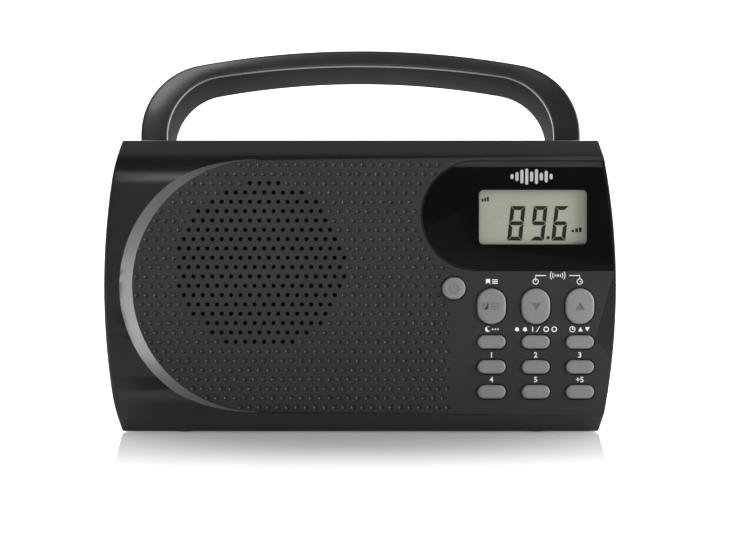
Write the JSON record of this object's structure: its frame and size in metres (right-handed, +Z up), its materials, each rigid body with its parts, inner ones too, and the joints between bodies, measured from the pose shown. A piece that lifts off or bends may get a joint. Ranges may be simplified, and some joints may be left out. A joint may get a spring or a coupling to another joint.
{
  "type": "tabletop radio",
  "caption": "Black tabletop radio with a perforated speaker grille, LCD window, grey keys, folding carry handle, telescopic aerial and battery bay.",
  "frame": {"origin": "on the table, under the middle of the radio's bounding box", "axes": "+X to the viewer's right along the width, -Y towards the listener in front, +Z up"},
  "size_m": [0.2228, 0.076, 0.1704],
  "materials": {
    "black_shell": "fine satin texture",
    "grey_key": "satin",
    "gloss_window": "polished",
    "lcd_glass": "grey-green reflective display",
    "black_rubber": "matt",
    "keypad_rubber": "matt",
    "circuit_board": "solder resist",
    "white_holder": "satin",
    "plated_steel": "plated",
    "chrome_tube": "polished",
    "coil_wire": "enamelled wire",
    "ferrite": "sintered",
    "speaker_paper": "pressed paper",
    "cell_jacket": "printed sleeve"
  },
  "bodies": {
    "cabinet": {"front_cabinet": "black_shell", "rear_cabinet": "black_shell", "handle_pin_left": "plated_steel", "handle_pin_right": "plated_steel", "display_window": "gloss_window", "lcd_panel": "lcd_glass", "lcd_holder": "white_holder", "rubber_keypad": "keypad_rubber", "key_board": "circuit_board", "main_board": "circuit_board", "transformer_core": "plated_steel", "transformer_coil": "coil_wire", "ferrite_rod": "ferrite", "ferrite_coil": "coil_wire", "speaker_frame": "plated_steel", "speaker_cone": "speaker_paper", "speaker_magnet": "ferrite", "volume_pot": "plated_steel", "headphone_jack": "black_rubber", "power_inlet": "black_rubber", "battery_cell_1": "cell_jacket", "battery_cell_2": "cell_jacket", "battery_cell_3": "cell_jacket", "battery_cell_4": "cell_jacket", "contact_bridge": "plated_steel", "contact_upper": "plated_steel", "contact_lower": "plated_steel", "battery_spring_upper": "plated_steel", "battery_spring_lower": "plated_steel", "foot_front_left": "black_rubber", "foot_front_right": "black_rubber", "foot_rear_left": "black_rubber", "foot_rear_right": "black_rubber", "screw_left_low": "plated_steel", "screw_right_low": "plated_steel", "screw_left_high": "plated_steel", "screw_right_high": "plated_steel"},
    "handle": {"handle_front": "black_shell", "handle_rear": "black_shell"},
    "battery_door": {"battery_door": "black_shell"},
    "volume_wheel": {"volume_wheel": "black_shell"},
    "aerial_base": {"aerial_swivel": "chrome_tube", "aerial_pin": "plated_steel"},
    "aerial_outer": {"aerial_tube_1": "chrome_tube"},
    "aerial_middle": {"aerial_tube_2": "chrome_tube"},
    "aerial_inner": {"aerial_tube_3": "chrome_tube"},
    "aerial_tip": {"aerial_tip_rod": "chrome_tube"},
    "key_power": {"key_power": "grey_key"},
    "key_memory": {"key_memory": "grey_key"},
    "key_tune_down": {"key_tune_down": "grey_key"},
    "key_tune_up": {"key_tune_up": "grey_key"},
    "key_sleep": {"key_sleep": "grey_key"},
    "key_alarm": {"key_alarm": "grey_key"},
    "key_clock": {"key_clock": "grey_key"},
    "key_preset_1": {"key_preset_1": "grey_key"},
    "key_preset_2": {"key_preset_2": "grey_key"},
    "key_preset_3": {"key_preset_3": "grey_key"},
    "key_preset_4": {"key_preset_4": "grey_key"},
    "key_preset_5": {"key_preset_5": "grey_key"},
    "key_plus_five": {"key_plus_five": "grey_key"}
  },
  "joints": [
    {"name": "handle_fold", "type": "hinge", "parent": "cabinet", "child": "handle", "pos_m": [0, 0.005, 0.111], "axis": [-1, 0, 0], "range_deg": [0, 90]},
    {"name": "battery_door_open", "type": "hinge", "parent": "cabinet", "child": "battery_door", "pos_m": [0, 0.037, 0.0113], "axis": [-1, 0, 0], "range_deg": [0, 85]},
    {"name": "volume_turn", "type": "hinge", "parent": "cabinet", "child": "volume_wheel", "pos_m": [0.09799, 0, 0.025], "axis": [0, 1, 0], "range_deg": [0, 280]},
    {"name": "aerial_swing", "type": "hinge", "parent": "cabinet", "child": "aerial_base", "pos_m": [0.07, 0.031, 0.122], "axis": [0, 1, 0], "range_deg": [0, 100]},
    {"name": "aerial_tilt", "type": "hinge", "parent": "aerial_base", "child": "aerial_outer", "pos_m": [0.07, 0.031, 0.122], "axis": [0, 0, -1], "range_deg": [0, 45]},
    {"name": "aerial_slide_1", "type": "slide", "parent": "aerial_outer", "child": "aerial_middle", "axis": [-1, 0, 0], "range_m": [0, 0.11]},
    {"name": "aerial_slide_2", "type": "slide", "parent": "aerial_middle", "child": "aerial_inner", "axis": [-1, 0, 0], "range_m": [0, 0.11]},
    {"name": "aerial_slide_3", "type": "slide", "parent": "aerial_inner", "child": "aerial_tip", "axis": [-1, 0, 0], "range_m": [0, 0.11]},
    {"name": "key_power_press", "type": "slide", "parent": "cabinet", "child": "key_power", "axis": [0, 1, 0], "range_m": [0, 0.0008], "stiffness_N_per_m": 1000},
    {"name": "key_memory_press", "type": "slide", "parent": "cabinet", "child": "key_memory", "axis": [0, 1, 0], "range_m": [0, 0.0008], "stiffness_N_per_m": 1000},
    {"name": "key_tune_down_press", "type": "slide", "parent": "cabinet", "child": "key_tune_down", "axis": [0, 1, 0], "range_m": [0, 0.0008], "stiffness_N_per_m": 1000},
    {"name": "key_tune_up_press", "type": "slide", "parent": "cabinet", "child": "key_tune_up", "axis": [0, 1, 0], "range_m": [0, 0.0008], "stiffness_N_per_m": 1000},
    {"name": "key_sleep_press", "type": "slide", "parent": "cabinet", "child": "key_sleep", "axis": [0, 1, 0], "range_m": [0, 0.0008], "stiffness_N_per_m": 1000},
    {"name": "key_alarm_press", "type": "slide", "parent": "cabinet", "child": "key_alarm", "axis": [0, 1, 0], "range_m": [0, 0.0008], "stiffness_N_per_m": 1000},
    {"name": "key_clock_press", "type": "slide", "parent": "cabinet", "child": "key_clock", "axis": [0, 1, 0], "range_m": [0, 0.0008], "stiffness_N_per_m": 1000},
    {"name": "key_preset_1_press", "type": "slide", "parent": "cabinet", "child": "key_preset_1", "axis": [0, 1, 0], "range_m": [0, 0.0008], "stiffness_N_per_m": 1000},
    {"name": "key_preset_2_press", "type": "slide", "parent": "cabinet", "child": "key_preset_2", "axis": [0, 1, 0], "range_m": [0, 0.0008], "stiffness_N_per_m": 1000},
    {"name": "key_preset_3_press", "type": "slide", "parent": "cabinet", "child": "key_preset_3", "axis": [0, 1, 0], "range_m": [0, 0.0008], "stiffness_N_per_m": 1000},
    {"name": "key_preset_4_press", "type": "slide", "parent": "cabinet", "child": "key_preset_4", "axis": [0, 1, 0], "range_m": [0, 0.0008], "stiffness_N_per_m": 1000},
    {"name": "key_preset_5_press", "type": "slide", "parent": "cabinet", "child": "key_preset_5", "axis": [0, 1, 0], "range_m": [0, 0.0008], "stiffness_N_per_m": 1000},
    {"name": "key_plus_five_press", "type": "slide", "parent": "cabinet", "child": "key_plus_five", "axis": [0, 1, 0], "range_m": [0, 0.0008], "stiffness_N_per_m": 1000}
  ]
}
